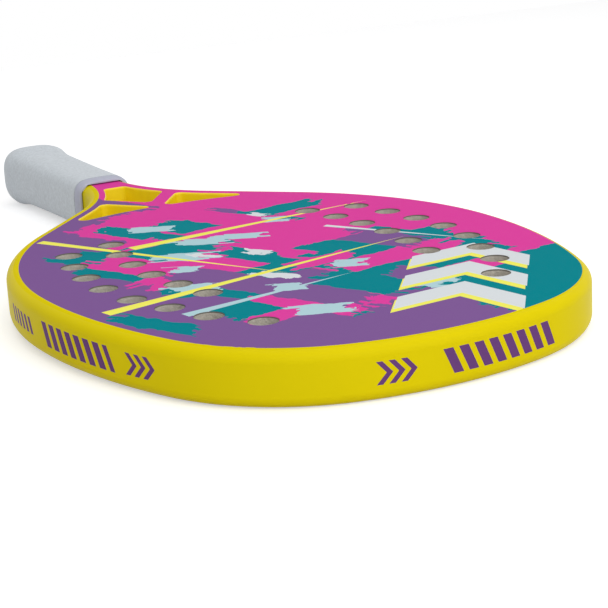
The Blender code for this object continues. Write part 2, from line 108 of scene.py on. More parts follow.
# The grip and its collar, in millimetres: place along X, half width and half height, and for flats
# the width of their chamfers
GRIP_OUTSIDE = (
    (-241.8, 17.0, 15.0),
    (-241.6, 17.4, 15.4),
    (-240.2, 18.3, 16.25),
    (-238.2, 19.15, 17.05),
    (-234.6, 19.75, 17.65),
    (-231.5, 19.9, 17.8),
    (-228, 19.8, 17.7),
    (-225.5, 19.3, 17.2),
    (-223, 18.75, 16.75),
    (-220, 18.2, 16.3),
    (-216.5, 17.9, 16.05),
    (-212, 17.4, 15.55),
    (-165, 16.7, 14.8),
    (-124.8, 16.45, 14.65),
)
GRIP_INSIDE = (
    (-241.8, 15.9, 13.9, 6),
    (-239, 15.9, 13.9, 6),
    (-236.5, 17.5, 15.5, 6.3),
    (-234, 18.2, 16.2, 6.5),
    (-228, 18.2, 16.2, 6.5),
    (-216.7, 16.9, 15.0, 5.5),
    (-216.6, 15.9, 14.1, 5),
    (-124.8, 14.7, 13, 4),
)
COLLAR_OUTSIDE = (
    (-124.6, 16.0, 14.2),
    (-124.2, 16.35, 14.55),
    (-122.5, 16.3, 14.5),
    (-121, 16.15, 14.3),
    (-119.6, 15.8, 13.95),
    (-118.6, 15.4, 13.5),
    (-118, 14.9, 13.0),
)
COLLAR_INSIDE = (
    (-124.6, 14.7, 13, 4),
    (-121.2, 14.6, 12.9, 4),
    (-121, 14, 12.2, 4),
    (-118, 14, 12.2, 4),
)
# How square a padded section is at the flare and from the shaft's start on. An ellipse has 2
FLARE_SQUARENESS, FLARE_X = 3.1, -232 * MM
SHAFT_SQUARENESS, SHAFT_X = 3.8, -222 * MM
SLEEVE_SIDES = 96
GRIP_STEPS, COLLAR_STEPS = 5, 3
SLOPE_LIMIT = 1.5

# Material places on the moulding, and on a skin
PAINT, PRINT, WINDOW = 0, 1, 2
SKIN_PRINT, SKIN_EDGE = 0, 1
# How many bands of a rounding's profile carry the film, counted from the face
RIM_FILM_BANDS, WINDOW_FILM_BANDS = 4, 3
# Where the print ends, in from the rim's outside: its mean, and how far and to which side it lies
PRINT_EDGE, PRINT_SHIFT, PRINT_SHIFT_ANGLE = 5.2 * MM, 1.2 * MM, math.radians(62)
# Beyond the print's edge the film is clear, from the first distance on and over twice the other
BARE_LEAST, BARE_REACH = 0.01 * MM, 9 * MM
# Kinds of node that are used most
MATH, NOISE, MIX = "ShaderNodeMath", "ShaderNodeTexNoise", "ShaderNodeMix"
# Sockets of the Mix node for colours, which share their names with those for numbers
MIX_A, MIX_B, MIX_RESULT = 6, 7, 2

# Brushes of the print, for strokes, cross strokes and dabs: the direction in the faces' plane, the
# width of a bristle, how far the ends fray and how far the edges wander
BRUSHES = (
    (math.radians(24), 2.4 * MM, 9 * MM, 8 * MM),
    (math.radians(98), 2.4 * MM, 8 * MM, 7 * MM),
    (math.radians(62), 2.6 * MM, 9 * MM, 5 * MM),
)
# The length over which edges wander, and how far the ends wander for each unit of fray
WANDER_SIZE, WANDER_SHARE = 9 * MM, 2.2
# How far a row of strokes may start from its neighbours, in strokes
ROW_SHIFT = 7
STROKE_SEED = 11
# Chevrons of the print: direction, and in millimetres their centre, the outline's offset, half the
# thickness of a band, half their width, and the bands' places
CHEVRON_ANGLE = math.radians(142)
CHEVRON_CENTRE = (178, 45)
CHEVRON_OUTLINE, CHEVRON_HALF_BAND, CHEVRON_HALF_WIDTH = 3.6, 9, 26
CHEVRON_STEPS = (-20, 13, 46)
# How far chevrons, and the bars and chevrons of the side wall, lean for each unit across them
CHEVRON_SLOPE, BAR_SLOPE, MARK_SLOPE = 0.9, 0.45, 0.9

FILM_NAME = "screen print under satin lacquer"
# Grain and depth of the lacquer's orange peel
PEEL_SIZE, PEEL_DEPTH = 0.7 * MM, 0.3 * MM
# Finishes in one colour: material, roughness, IOR, and the grain and strength of its texture. The
# grains are drawn coarser than the real ones, so that they show
FINISHES = {
    # Brushed on inside the windows, with soft marks of the brush. Its yellow is lighter than the
    # frame's paint: painted light for the light the windows catch
    "window": ("brushed lacquer", 0.5, 1.5, 1.5 * MM, 0.1),
    # Stretched over the grip's end: dull and smooth
    "collar": ("stretched rubber band", 0.6, 1.52, 1.2 * MM, 0.15),
    # Moulded in a closed tool: dead matt and a little rough
    "pallet": ("moulded polyurethane foam", 0.8, 1.45, 1.5 * MM, 0.3),
    # Moulded in a spark-eroded tool: a low sheen over a fine grain
    "nylon": ("moulded glass-filled nylon", 0.45, 1.53, 0.8 * MM, 0.15),
}


def linear_colour(hex_code):
    """An sRGB hex colour as the linear values that Blender takes."""
    parts = [int(hex_code[start : start + 2], 16) / 255 for start in (1, 3, 5)]
    return tuple(
        part / 12.92 if part <= 0.04045 else ((part + 0.055) / 1.055) ** 2.4 for part in parts
    )


def colour_property(name, hex_code, description):
    default = linear_colour(hex_code)
    return bpy.props.FloatVectorProperty(
        name=name, description=description, default=default, subtype="COLOR", min=0, max=1
    )


def length_property(name, default, description):
    return bpy.props.FloatProperty(
        name=name, description=description, default=default, min=0, unit="LENGTH", precision=5
    )


class RacketSizes(bpy.types.PropertyGroup):
    """Sizes that a user would change."""

    rim_width: length_property("Rim width", 10 * MM, "Width of the rim tube, seen from above")
    rim_rounding: length_property("Rim rounding", 5 * MM, "Radius of the rim's outer edges")
    print_border: length_property("Print border", 6 * MM, "Painted border outside the print")
    skin: length_property("Skin", 0.8 * MM, "Thickness of each laminate skin")
    bridge_width: length_property("Bridge width", 10 * MM, "Width of the bridge below the head")
    window_fillet: length_property("Window fillet", 3 * MM, "Radius of the windows' corners")
    window_rounding: length_property("Window rounding", 1.2 * MM, "Radius of the windows' edges")
    hole_radius: length_property("Hole radius", 6.4 * MM, "Radius of each drilled hole")


class RacketColours(bpy.types.PropertyGroup):
    """Colours that a user would change."""

    paint: colour_property("Paint", "#e3cf08", "Frame lacquer")
    # Painted light: the frame's yellow made lighter inside the windows, for the light they catch
    window: colour_property("Window", "#ffdf05", "Lacquer inside the throat's windows")
    mark: colour_property("Mark", "#6b437c", "Marks on the side wall")
    purple: colour_property("Purple", "#825c99", "Print ground on one side")
    pink: colour_property("Pink", "#e444a3", "Print ground on the other side")
    teal: colour_property("Teal", "#008791", "Brush strokes")
    ice: colour_property("Ice", "#b6d7de", "Dabs")
    pearl: colour_property("Pearl", "#dfe4e7", "The motif")
    lemon: colour_property("Lemon", "#f9f568", "Streaks and outlines")
    foam: colour_property("Foam", "#ccc6ba", "Drilled foam")
    laminate: colour_property("Laminate", "#77736a", "Cut edges of the skins")
    grip: colour_property("Grip", "#c9d0d6", "Grip padding")
    collar: colour_property("Collar", "#b3b5c6", "Finishing band")
    nylon: colour_property("Nylon", "#2b2c2f", "Butt cap")
    pallet: colour_property("Pallet", "#3a3a3c", "Handle foam")
    steel: colour_property("Steel", "#b9bcc0", "Zinc-plated screws")


def normal_at(angle):
    return Vector((math.cos(angle), math.sin(angle)))


def station(point, angle):
    """A point of an outline with its outward normal's angle, as one vector."""
    return Vector((point.x, point.y, angle))


def rim_stations():
    """Stations of the outer edge on the +Y side, tip to butt."""
    side_sweep = math.pi / 2 - TIP_SWEEP - SHOULDER_SWEEP
    arcs = (
        (TIP_RADIUS, TIP_SWEEP),
        (SHOULDER_RADIUS, SHOULDER_SWEEP),
        (SIDE_RADIUS, side_sweep),
        (LOWER_RADIUS, TAPER_ANGLE),
    )
    centre = Vector((TIP_X - TIP_RADIUS, 0))
    angle = 0.0
    stations = [Vector((TIP_X, 0, angle))]
    for (radius, sweep), (next_radius, _) in zip(arcs, arcs[1:] + (arcs[-1],)):
        count = math.ceil(sweep / ARC_STEP)
        for step in range(1, count + 1):
            at = angle + sweep * step / count
            stations.append(station(centre + radius * normal_at(at), at))
        angle += sweep
        centre = centre + (radius - next_radius) * normal_at(angle)
    taper_start = stations[-1].xy
    neck_start_y = HANDLE_HALF_WIDTH + NECK_RADIUS * (1 - math.sin(angle))
    taper_length = (taper_start.y - neck_start_y) / -math.cos(angle)
    heading = Vector((-math.sin(angle), math.cos(angle)))
    neck_centre = taper_start + taper_length * heading + NECK_RADIUS * normal_at(angle)
    count = math.ceil(TAPER_ANGLE / ARC_STEP)
    for step in range(count + 1):
        at = angle - TAPER_ANGLE * step / count
        stations.append(station(neck_centre - NECK_RADIUS * normal_at(at), at))
    stations.append(Vector((LEG_END_X, HANDLE_HALF_WIDTH, math.pi / 2)))
    return stations


def moved(stations, distance):
    """The stations, moved outwards along their normals."""
    return [station(at.xy + distance * normal_at(at.z), at.z) for at in stations]


def flipped(stations):
    """The same stations on the other side of the centre line, in reverse order."""
    return [Vector((at.x, -at.y, -at.z)) for at in reversed(stations)]


def rim_inset(inset):
    """The outline on the +Y side, moved inwards."""
    return moved(rim_stations(), -inset)


def crossing(inner, outer, side):
    """The point between two points where side changes sign, found by halving."""
    for _ in range(HALVINGS):
        middle = (inner + outer) / 2
        if side(middle) > 0:
            inner = middle
        else:
            outer = middle
    return inner


def kept(points, side):
    """The stretch of a line of points where side is positive, cut exactly at its ends."""
    result = []
    for before, after in zip(points, points[1:]):
        before_in, after_in = side(before) > 0, side(after) > 0
        if before_in and not result:
            result.append(before)
        if after_in and not before_in:
            result.append(crossing(after, before, side))
        if before_in and not after_in:
            result.append(crossing(before, after, side))
        if after_in:
            result.append(after)
    return result


def bridge_arc(radius, from_point):
    """Stations on a circle about the bridge's centre, from a point's angle to the centre line."""
    start = (from_point.xy - BRIDGE_CENTRE).angle_signed(Vector((1, 0)))
    count = math.ceil((math.pi - start) / BRIDGE_STEP)
    angles = [start + (math.pi - start) * step / count for step in range(count + 1)]
    stations = [station(BRIDGE_CENTRE + radius * normal_at(angle), angle) for angle in angles]
    stations[-1].y = 0
    return stations


def from_bridge(radius):
    """Positive beyond the circle of this radius about the bridge's centre, towards the handle."""
    return lambda at: (at.xy - BRIDGE_CENTRE).length - radius


def past_strut(offset):
    """Positive on the tip's side of a line along the +Y strut, offset towards the tip."""
    across = Vector((math.sin(STRUT_ANGLE), math.cos(STRUT_ANGLE)))
    return lambda at: (at.xy - STRUT_CENTRE).dot(across) - offset


def head_loop(inset, radius):
    """The head's outline, set in from the rim and closed by an arc across the throat."""
    side = kept(rim_inset(inset), lambda at: -from_bridge(radius)(at))
    half = side + bridge_arc(radius, side[-1])[1:]
    return half + flipped(half)[1:-1]


def side_window(sizes):
    """The sides of the +Y window between tube, strut and bridge, set in by the fillets' radius."""
    fillet = sizes.window_fillet
    strut_normal = math.pi * 1.5 - STRUT_ANGLE
    tube = kept(rim_inset(sizes.rim_width + fillet), from_bridge(BRIDGE_RADIUS + fillet))
    tube = kept(tube, past_strut(STRUT_WIDTH / 2 + fillet))
    bridge = bridge_arc(BRIDGE_RADIUS + fillet, tube[0])
    bridge = kept(bridge, past_strut(STRUT_WIDTH / 2 + fillet))
    strut = [station(tube[-1], strut_normal), station(bridge[-1], strut_normal)]
    return [tube, strut, [station(at, at.z + math.pi) for at in reversed(bridge)]]


def middle_window(sizes):
    """The sides of the window between the struts, the tube and the handle, set in likewise."""
    fillet = sizes.window_fillet
    strut_normal = math.pi / 2 - STRUT_ANGLE
    edge = STRUT_WIDTH / 2 + fillet
    tube = kept(rim_inset(sizes.rim_width + fillet), lambda at: -past_strut(-edge)(at))
    tube = kept(tube, lambda at: at.x - WINDOW_END_X - fillet)
    apex = Vector((STRUT_CENTRE.x - edge / math.sin(STRUT_ANGLE), 0))
    strut = [station(apex, strut_normal), station(tube[0], strut_normal)]
    end = [station(tube[-1], math.pi), station(Vector((tube[-1].x, -tube[-1].y)), math.pi)]
    return [strut, tube, end, flipped(tube), flipped(strut)]


def filleted(sides):
    """One closed run of stations along the sides, whose normal turns on the spot at each corner."""
    loop = []
    for side, following in zip(sides, sides[1:] + sides[:1]):
        loop += side
        turn = (following[0].z - side[-1].z) % math.tau
        count = math.ceil(turn / FILLET_STEP)
        for step in range(1, count):
            loop.append(station(side[-1], side[-1].z + turn * step / count))
    return loop


def window_loops(sizes):
    """The three windows as functions from a set-back into the material to a closed loop."""
    beside = filleted(side_window(sizes))
    loops = (filleted(middle_window(sizes)), beside, flipped(beside))
    return [lambda back, loop=loop: moved(loop, sizes.window_fillet + back) for loop in loops]


def circle(centre, radius):
    turns = [math.tau * index / HOLE_SIDES for index in range(HOLE_SIDES)]
    return [Vector(centre) + radius * normal_at(turn) for turn in turns]


def hole_loops(radius):
    rows = OUTER_ROW + INNER_ROW
    centres = [(x * MM, side * y * MM) for x, y in rows for side in (1, -1)]
    return [circle(centre, radius) for centre in centres]


def ring(loop, height):
    return [Vector((at.x, at.y, height)) for at in loop]


def quarter_turn(radius, steps):
    """A quarter circle that rounds an edge: how far in from the side and below the top it is."""
    angles = [math.pi / 2 * step / steps for step in range(steps + 1)]
    return [(radius * (1 - math.sin(angle)), radius * (1 - math.cos(angle))) for angle in angles]


def fill(form, loops, height, material=0):
    """Fills between flat loops: the first is the outer border and the others are openings in it."""
    edges = []
    for loop in loops:
        row = [form.verts.new((at.x, at.y, height)) for at in loop]
        edges += [form.edges.new(pair) for pair in zip(row, row[1:] + row[:1])]
    made = bmesh.ops.triangle_fill(form, edges=edges, use_beauty=True)["geom"]
    for face in made:
        if isinstance(face, bmesh.types.BMFace):
            face.material_index = material


def skirt(form, rings, materials=None, closed=True):
    """Joins rings of equally many points, with one material for each band between two of them."""
    rows = [[form.verts.new(point) for point in points] for points in rings]
    for band, (row, following) in enumerate(zip(rows, rows[1:])):
        for index in range(len(row) if closed else len(row) - 1):
            after = (index + 1) % len(row)
            face = form.faces.new((row[index], row[after], following[after], following[index]))
            face.material_index = materials[band] if materials else 0
    return rows


def finished_piece(name, form, materials, nodes):
    """Turns a form into an object that replaces its solids, smooth but crisp at corners."""
    bmesh.ops.remove_doubles(form, verts=form.verts, dist=WELD)
    bmesh.ops.recalc_face_normals(form, faces=form.faces)
    mesh = bpy.data.meshes.new(name)
    form.to_mesh(mesh)
    form.free()
    mesh.shade_smooth()
    mesh.set_sharp_from_angle(angle=SHARP_ANGLE)
    for material in materials:
        mesh.materials.append(material)
    piece = bpy.data.objects.new(name, mesh)
    bpy.context.scene.collection.objects.link(piece)
    shading = piece.modifiers.new("even shading", "WEIGHTED_NORMAL")
    shading.keep_sharp = True
    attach(piece, "root")
    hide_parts(*nodes)
    return piece


def arc_lengths(stations):
    """Distance of each station from the first one, along the line."""
    lengths = [0.0]
    for before, after in zip(stations, stations[1:]):
        lengths.append(lengths[-1] + (after.xy - before.xy).length)
    return lengths


def shell_half(border):
    """The outer edge on the +Y side, with one more station where the head's border leaves it, and
    that station's index."""
    stations = rim_stations()
    edge = moved(stations, -border)
    beyond = from_bridge(BRIDGE_RADIUS - FACE_END_MARGIN)
    split = next(index for index, at in enumerate(edge) if beyond(at) > 0)
    corner = crossing(edge[split - 1], edge[split], lambda at: -beyond(at))
    return stations[:split] + moved([corner], border) + stations[split:], split


def neck_line(edge, split):
    """The border between the head's skin and the throat's lands, from side to side."""
    arc = bridge_arc(BRIDGE_RADIUS - FACE_END_MARGIN, edge[split])
    return arc[1:] + flipped(arc)[1:-1]


def build_frame_shell(form, sizes):
    """The painted moulding: rim, arms, bridge, struts and the legs inside the handle."""
    along = form.verts.layers.float.new("along")
    bare = form.verts.layers.float.new("bare")
    border, rounding = sizes.print_border, sizes.rim_rounding
    half, split = shell_half(border)
    whole = flipped(half)[:-1] + half
    lengths = arc_lengths(half)
    signed = [-length for length in reversed(lengths[1:])] + lengths
    profile = [(border, HALF_THICKNESS), (rounding + SUPPORT, HALF_THICKNESS)]
    corner = quarter_turn(rounding, ROUNDING_STEPS)
    profile += [(inset, HALF_THICKNESS - drop) for inset, drop in corner]
    profile += [(inset, -height) for inset, height in reversed(profile)]
    film = [PRINT] * RIM_FILM_BANDS
    bands = film + [PAINT] * (len(profile) - 1 - 2 * RIM_FILM_BANDS) + film
    rings = [ring(moved(whole, -inset), height) for inset, height in profile]
    rows = skirt(form, rings, bands, closed=False)
    leanings = [math.cos(at.z - PRINT_SHIFT_ANGLE) for at in whole]
    ends = [min(PRINT_EDGE - PRINT_SHIFT * leaning, border) for leaning in leanings]
    for row, (inset, _) in zip(rows, profile):
        for vertex, length, end in zip(row, signed, ends):
            vertex[along] = length
            vertex[bare] = end - inset

    # The legs' inner sides and their ends
    inner_y = HANDLE_HALF_WIDTH - sizes.rim_width
    corners = ((LEG_END_X, inner_y), (HANDLE_CORE_END_X, inner_y))
    slot_line = [Vector(corner) for corner in corners]
    slot_line += [Vector((x, -y)) for x, y in reversed(corners)]
    skirt(form, [ring(slot_line, HALF_THICKNESS), ring(slot_line, -HALF_THICKNESS)], closed=False)
    for end, y in ((-1, inner_y), (0, -inner_y)):
        leg = [row[end] for row in rows]
        leg += [form.verts.new((LEG_END_X, y, z)) for z in (-HALF_THICKNESS, HALF_THICKNESS)]
        form.faces.new(leg)

    # The flat lands of the throat, open at the windows and the screws
    edge = moved(half, -border)
    neck = neck_line(edge, split)
    lands = edge[split:] + slot_line + flipped(edge[split:]) + list(reversed(neck))
    windows = window_loops(sizes)
    window_tops = [window(sizes.window_rounding + SUPPORT) for window in windows]
    screw = circle((SCREW_X, 0), SCREW_HOLE_RADIUS)
    for height in (HALF_THICKNESS, -HALF_THICKNESS):
        fill(form, [lands, *window_tops, screw], height, PRINT)
    skirt(form, [ring(screw, HALF_THICKNESS), ring(screw, -HALF_THICKNESS)])

    # The windows' rolled edges and their walls
    upper = [(sizes.window_rounding + SUPPORT, 0.0)]
    upper += quarter_turn(sizes.window_rounding, WINDOW_STEPS)
    lower = [(back, 2 * HALF_THICKNESS - drop) for back, drop in reversed(upper)]
    rolled = [PRINT] * WINDOW_FILM_BANDS + [WINDOW] * (len(upper) - 1 - WINDOW_FILM_BANDS)
    bands = rolled + [WINDOW] + rolled[::-1]
    for window in windows:
        rings = [ring(window(back), HALF_THICKNESS - drop) for back, drop in upper + lower]
        skirt(form, rings, bands)

    # The ledges that carry the skins, round the hollow for the foam
    head = edge[: split + 1]
    head_edge = head + neck + flipped(head)[:-1]
    cavity = head_loop(sizes.rim_width, BRIDGE_RADIUS - sizes.bridge_width)
    ledge = HALF_THICKNESS - sizes.skin
    for side in (1, -1):
        skirt(form, [ring(head_edge, side * HALF_THICKNESS), ring(head_edge, side * ledge)])
        fill(form, [head_edge, cavity], side * ledge)
    skirt(form, [ring(cavity, ledge), ring(cavity, -ledge)])


def build_skin(form, sizes, side):
    """A printed laminate face with its drilled holes."""
    half, split = shell_half(sizes.print_border)
    edge = moved(half, -sizes.print_border)
    head = edge[: split + 1]
    outline = head + neck_line(edge, split) + flipped(head)[:-1]
    outer, inner = side * HALF_THICKNESS, side * (HALF_THICKNESS - sizes.skin)
    below = side * (HALF_THICKNESS - HOLE_EDGE)
    wide = hole_loops(sizes.hole_radius + HOLE_EDGE)
    drilled = hole_loops(sizes.hole_radius)
    fill(form, [outline, *wide], outer)
    fill(form, [outline, *drilled], inner)
    skirt(form, [ring(outline, outer), ring(outline, inner)])
    for top, wall in zip(wide, drilled):
        rings = [ring(top, outer), ring(wall, below), ring(wall, inner)]
        skirt(form, rings, [SKIN_PRINT, SKIN_EDGE])


def build_foam(form, sizes):
    """The foam slab between the skins, drilled through with them."""
    outline = head_loop(sizes.rim_width, BRIDGE_RADIUS - sizes.bridge_width)
    height = HALF_THICKNESS - sizes.skin
    drilled = hole_loops(sizes.hole_radius)
    for level in (height, -height):
        fill(form, [outline, *drilled], level)
    skirt(form, [ring(outline, height), ring(outline, -height)])
    levels = [height * (1 - 2 * step / FOAM_LEVELS) for step in range(FOAM_LEVELS + 1)]
    for loop in drilled:
        skirt(form, [ring(loop, level) for level in levels])


def eased(before, start, end, after, share):
    """A cubic between start and end, whose slopes follow the neighbours without overshooting."""
    rise = end - start
    limit = SLOPE_LIMIT * abs(rise)
    leave = max(-limit, min(limit, (end - before) / 2))
    arrive = max(-limit, min(limit, (after - start) / 2))
    blend = share * share * (3 - 2 * share)
    bend = share * (1 - share)
    return start + blend * rise + bend * ((1 - share) * leave - share * arrive)


def smooth_between(stations, count):
    """Stations on smooth curves through the given ones, count of them from each one to the next."""
    ends = [stations[0], *stations, stations[-1]]
    result = []
    for group in zip(ends, ends[1:], ends[2:], ends[3:]):
        for step in range(count):
            result.append(tuple(eased(*sizes, step / count) for sizes in zip(*group)))
    return result + [stations[-1]]


def soft_ring(x, half_width, half_height):
    """A padded section: an oval at the flare, squarer on the shaft over the flats beneath it."""
    at = min(max((x * MM - FLARE_X) / (SHAFT_X - FLARE_X), 0), 1)
    power = 2 / (FLARE_SQUARENESS + (SHAFT_SQUARENESS - FLARE_SQUARENESS) * at)
    points = []
    for index in range(SLEEVE_SIDES):
        across, up = normal_at(math.tau * index / SLEEVE_SIDES)
        y = half_width * math.copysign(abs(across) ** power, across)
        z = half_height * math.copysign(abs(up) ** power, up)
        points.append(Vector((x, y, z)) * MM)
    return points


def flat_ring(x, half_width, half_height, chamfer):
    """A section with eight flats, met by rays through a padded section's points."""
    flats = ((1, 0, half_width), (0, 1, half_height), (1, 1, half_width + half_height - chamfer))
    points = []
    for point in soft_ring(x, half_width, half_height):
        reach = max((a * abs(point.y) + b * abs(point.z)) / (size * MM) for a, b, size in flats)
        points.append(Vector((x * MM, point.y / reach, point.z / reach)))
    return points


def build_sleeve(form, outside, inside):
    """A closed sleeve: down its outside and back up its inside."""
    rings = [soft_ring(*at) for at in outside] + [flat_ring(*at) for at in reversed(inside)]
    skirt(form, rings + rings[:1])


def node(tree, kind, inputs=None, **settings):
    """Adds a node with its settings, feeds its inputs by value or socket, and gives its outputs."""
    made = tree.nodes.new(kind)
    for key, value in settings.items():
        setattr(made, key, value)
    for key, value in (inputs or {}).items():
        if isinstance(value, bpy.types.NodeSocket):
            tree.links.new(value, made.inputs[key])
        else:
            made.inputs[key].default_value = value
    return made.outputs


def new_material(name, values):
    """A material with one Principled BSDF, whose even values sit on its own sockets. Its patterns
    follow the place on the object, which comes last."""
    material = bpy.data.materials.new(name)
    material.use_nodes = True
    tree = material.node_tree
    shader = tree.nodes["Principled BSDF"]
    for key, value in values.items():
        shader.inputs[key].default_value = value
    return material, tree, shader, node(tree, "ShaderNodeTexCoord")["Object"]


def shaded(colour, factor=1):
    """A colour made lighter or darker, with an alpha of one."""
    return (*(min(part * factor, 1) for part in colour), 1)


def grained(tree, shader, place, size, roughness, strength, depth):
    """A relief of fine noise under the whole surface, with grains of the given size and depth."""
    noise = {"Vector": place, "Scale": 1 / size, "Detail": 2.0, "Roughness": roughness}
    grain = node(tree, NOISE, noise)["Fac"]
    relief = {"Height": grain, "Strength": strength, "Distance": depth}
    tree.links.new(node(tree, "ShaderNodeBump", relief)["Normal"], shader.inputs["Normal"])


def clouded(tree, shader, place, size, colour, dark, light, detail=3.0):
    """A base colour that drifts between a darker and a lighter tone, in clouds of a given size. It
    is given back too, as the ground for marks."""
    cloud = node(tree, NOISE, {"Vector": place, "Scale": 1 / size, "Detail": detail})["Fac"]
    tones = {"Factor": cloud, MIX_A: shaded(colour, dark), MIX_B: shaded(colour, light)}
    blend = node(tree, MIX, tones, data_type="RGBA")[MIX_RESULT]
    tree.links.new(blend, shader.inputs["Base Color"])
    return blend


def patches(tree, shapes):
    """One inside any of the shapes. A shape is where all its limits hold, and a limit holds where
    its value is within reach of its middle."""
    union = None
    for limits in shapes:
        shape = None
        for value, middle, reach in limits:
            inside = node(tree, MATH, {0: value, 1: middle, 2: reach}, operation="COMPARE")[0]
            if shape is not None:
                inside = node(tree, MATH, {0: shape, 1: inside}, operation="MULTIPLY")[0]
            shape = inside
        if union is not None:
            shape = node(tree, MATH, {0: union, 1: shape}, operation="MAXIMUM")[0]
        union = shape
    return union


def inked(tree, ground, layers):
    """Flat inks over a ground, one after another. A layer is where it covers, and its colour."""
    for cover, colour in layers:
        inks = {"Factor": cover, MIX_A: ground, MIX_B: shaded(colour)}
        ground = node(tree, MIX, inks, data_type="RGBA")[MIX_RESULT]
    return ground


def turned(tree, place, angle, centre=(0, 0)):
    """Distances along and across a direction in the faces' plane, from a centre in millimetres."""
    ends = {0: place, 1: (centre[0] * MM, centre[1] * MM, 0)}
    offset = node(tree, "ShaderNodeVectorMath", ends, operation="SUBTRACT")["Vector"]
    distances = []
    for direction in (normal_at(angle), normal_at(angle + math.pi / 2)):
        pair = {0: offset, 1: direction.to_3d()}
        distances.append(node(tree, "ShaderNodeVectorMath", pair, operation="DOT_PRODUCT")["Value"])
    return distances


def frayed(tree, place, angle, bristle, fray, wobble):
    """Distances along and across a direction, shaken: edges wander and strokes end in bristles."""
    along, across = turned(tree, place, angle)
    soft = node(tree, NOISE, {"Vector": place, "Scale": 1 / WANDER_SIZE, "Detail": 3.0})["Fac"]
    across = node(tree, MATH, {0: soft, 1: wobble, 2: across}, operation="MULTIPLY_ADD")[0]
    step = node(tree, MATH, {0: across, 1: bristle}, operation="SNAP")[0]
    each = node(tree, "ShaderNodeTexWhiteNoise", {"W": step}, noise_dimensions="1D")["Value"]
    for shake, amount in ((each, fray), (soft, fray * WANDER_SHARE)):
        along = node(tree, MATH, {0: shake, 1: amount, 2: along}, operation="MULTIPLY_ADD")[0]
    return along, across


def brushed_wall(tree, along, across, row, length):
    """A random number for each stroke, where the strokes lie in rows and start anywhere in them."""
    course = node(tree, MATH, {0: across, 1: row}, operation="SNAP")[0]
    start = node(tree, "ShaderNodeTexWhiteNoise", {"W": course}, noise_dimensions="1D")["Value"]
    shift = {0: start, 1: length * ROW_SHIFT, 2: along}
    shifted = node(tree, MATH, shift, operation="MULTIPLY_ADD")[0]
    place = node(tree, MATH, {0: shifted, 1: length}, operation="SNAP")[0]
    each = node(tree, "ShaderNodeCombineXYZ", {"X": course, "Y": place})["Vector"]
    return node(tree, "ShaderNodeTexWhiteNoise", {"Vector": each}, noise_dimensions="2D")["Value"]


